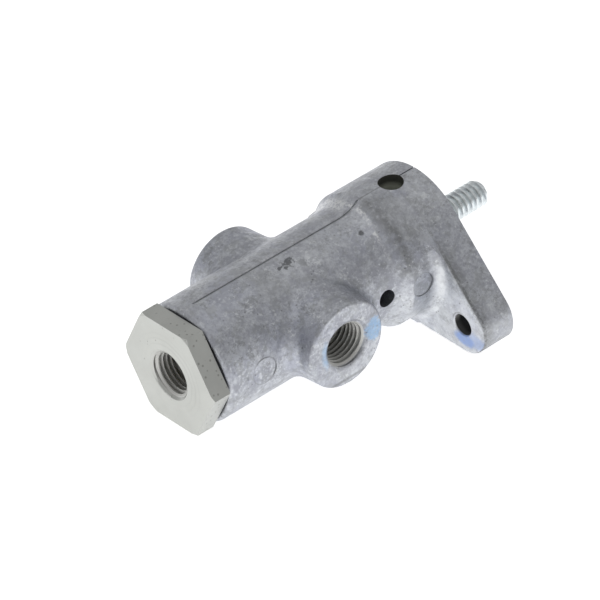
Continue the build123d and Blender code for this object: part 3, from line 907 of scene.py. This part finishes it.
def zinc_plate():
    """Bright zinc plate with a cool cast and duller patches."""
    skin = Surface("zinc_plate")
    patches = skin.noise(1.6 * MM, detail=3.0)
    colour = skin.mix(skin.ramp(patches, 0.35, 0.65), shade(zinc_tint, 0.8), zinc_tint)
    skin.bump(skin.noise(0.3 * MM), 0.2, 0.03 * MM)
    return skin.finish(colour, skin.ramp(patches, 0.3, 0.7, 0.26, 0.4), 1.0)


def plain_metal(name, tint, roughness):
    """Turned or drawn metal with a fine grain and a slow change of tone."""
    skin = Surface(name)
    tone = skin.noise(3 * MM, detail=3.0)
    colour = skin.mix(skin.ramp(tone, 0.3, 0.7), shade(tint, 0.72), tint)
    skin.bump(skin.noise(0.25 * MM), 0.2, 0.03 * MM)
    return skin.finish(colour, skin.ramp(tone, 0.3, 0.7, roughness, roughness + 0.12), 1.0)


def soft_stuff(name, tint, roughness):
    """Rubber, gasket sheet or plastic with a fine matt grain."""
    skin = Surface(name)
    tone = skin.noise(1.2 * MM, detail=4.0)
    colour = skin.mix(skin.ramp(tone, 0.3, 0.7), shade(tint, 0.7), tint)
    skin.bump(skin.noise(0.2 * MM), 0.25, 0.03 * MM)
    return skin.finish(colour, skin.ramp(tone, 0.3, 0.7, roughness, roughness + 0.1), 0.0)


def dress(materials, new_pieces):
    """Gives every CAD node and new piece the material of its slot."""
    for part in frame["record"]["subparts"]:
        slots = nodes[part["node"]].data.materials
        slots.clear()
        slots.append(materials[part["material_slot"]])
    for piece in new_pieces:
        piece.data.materials.clear()
        piece.data.materials.append(materials[piece["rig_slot"]])


# Stage

def floor_plane():
    """Pale floor under the flange's lower front edge and the barrel's rim, on which the valve lies."""
    flange_edge = Vector((flange_front, 0, low("valve_body", 2)))
    rim = Vector((low("valve_body", 0) + barrel_rim, 0, -barrel_radius))
    slope = math.atan2(rim.z - flange_edge.z, flange_edge.x - rim.x)
    deselect_all()
    bpy.ops.mesh.primitive_plane_add(size=floor_size, location=flange_edge, rotation=(0, slope, 0))
    floor = bpy.context.object
    floor.name = "floor"
    floor.data.materials.append(pale_floor())


def pale_floor():
    """Matt floor that the camera, reflections and glass see nearly white."""
    surface = Surface("pale_floor")
    surface.finish(floor_tint, floor_roughness, 0.0)
    light = surface.add("ShaderNodeLightPath")
    seen = surface.most(*[
        light.outputs[ray] for ray in ("Is Camera Ray", "Is Glossy Ray", "Is Transmission Ray")
    ])
    glow = surface.add("ShaderNodeEmission")
    surface.link(surface.times(seen, floor_glow), glow.inputs["Strength"])
    both = surface.add("ShaderNodeAddShader")
    surface.link(surface.shader.outputs["BSDF"], both.inputs[0])
    surface.link(glow.outputs["Emission"], both.inputs[1])
    output = [node for node in surface.tree.nodes if node.type == "OUTPUT_MATERIAL"][0]
    surface.link(both.outputs["Shader"], output.inputs["Surface"])
    return surface.material


def overhead_softbox():
    """Square area lamp that points at the middle of the valve."""
    light = bpy.data.lights.new("overhead_softbox", "AREA")
    light.size = lamp_size
    light.energy = lamp_power
    lamp = bpy.data.objects.new("overhead_softbox", light)
    bpy.context.scene.collection.objects.link(lamp)
    lamp.location = lamp_place
    middle = Vector((port_station, 0, 0))
    lamp.rotation_euler = (middle - lamp.location).to_track_quat("-Z", "Y").to_euler()


def studio():
    """White world, brighter to the camera than to the valve, and one soft lamp."""
    world = bpy.data.worlds.new("studio")
    bpy.context.scene.world = world
    world.use_nodes = True
    tree = world.node_tree
    background = tree.nodes["Background"]
    background.inputs["Color"].default_value = (1, 1, 1, 1)
    paths = tree.nodes.new("ShaderNodeLightPath")
    strength = tree.nodes.new("ShaderNodeMapRange")
    strength.inputs["To Min"].default_value = world_light
    strength.inputs["To Max"].default_value = world_seen
    tree.links.new(paths.outputs["Is Camera Ray"], strength.inputs["Value"])
    tree.links.new(strength.outputs["Result"], background.inputs["Strength"])
    overhead_softbox()


def aim_camera():
    """Camera at the photograph's place and angle."""
    data = bpy.data.cameras.new("camera")
    data.lens = camera_lens
    data.sensor_width = camera_sensor
    data.clip_start = 0.05
    data.clip_end = 20
    camera = bpy.data.objects.new("camera", data)
    bpy.context.scene.collection.objects.link(camera)
    back = -camera_forward.normalized()
    right = camera_up.cross(back).normalized()
    up = back.cross(right)
    turn = Matrix((right, up, back)).transposed().to_4x4()
    camera.matrix_world = Matrix.Translation(camera_place) @ turn
    bpy.context.scene.camera = camera


aim_camera()
new_pieces = []
for thread_name, mount_name, thread_depth in (
    ("inlet_port_thread", "inlet_port", inlet_thread_depth),
    ("front_port_thread", "front_port", side_thread_depth),
    ("rear_port_thread", "rear_port", side_thread_depth),
):
    thread = pipe_thread(thread_name, mount_name, thread_depth)
    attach(thread, body_of("valve_body"))
    new_pieces.append(thread)
new_pieces += threaded_stud()
new_pieces += shortening_springs()

dress({
    "cast_aluminium": cast_aluminium(),
    "machined_aluminium": machined_aluminium(),
    "zinc_plated_steel": zinc_plate(),
    "spring_steel": plain_metal("spring_steel", (0.35, 0.35, 0.36), 0.35),
    "brass": plain_metal("brass", (0.78, 0.6, 0.3), 0.3),
    "nitrile_rubber": soft_stuff("nitrile_rubber", (0.035, 0.035, 0.035), 0.6),
    "gasket_fibre": soft_stuff("gasket_fibre", (0.05, 0.05, 0.055), 0.7),
    "acetal": soft_stuff("acetal", (0.8, 0.8, 0.77), 0.45),
}, new_pieces)

floor_plane()
studio()
bpy.context.scene.view_settings.view_transform = "Standard"
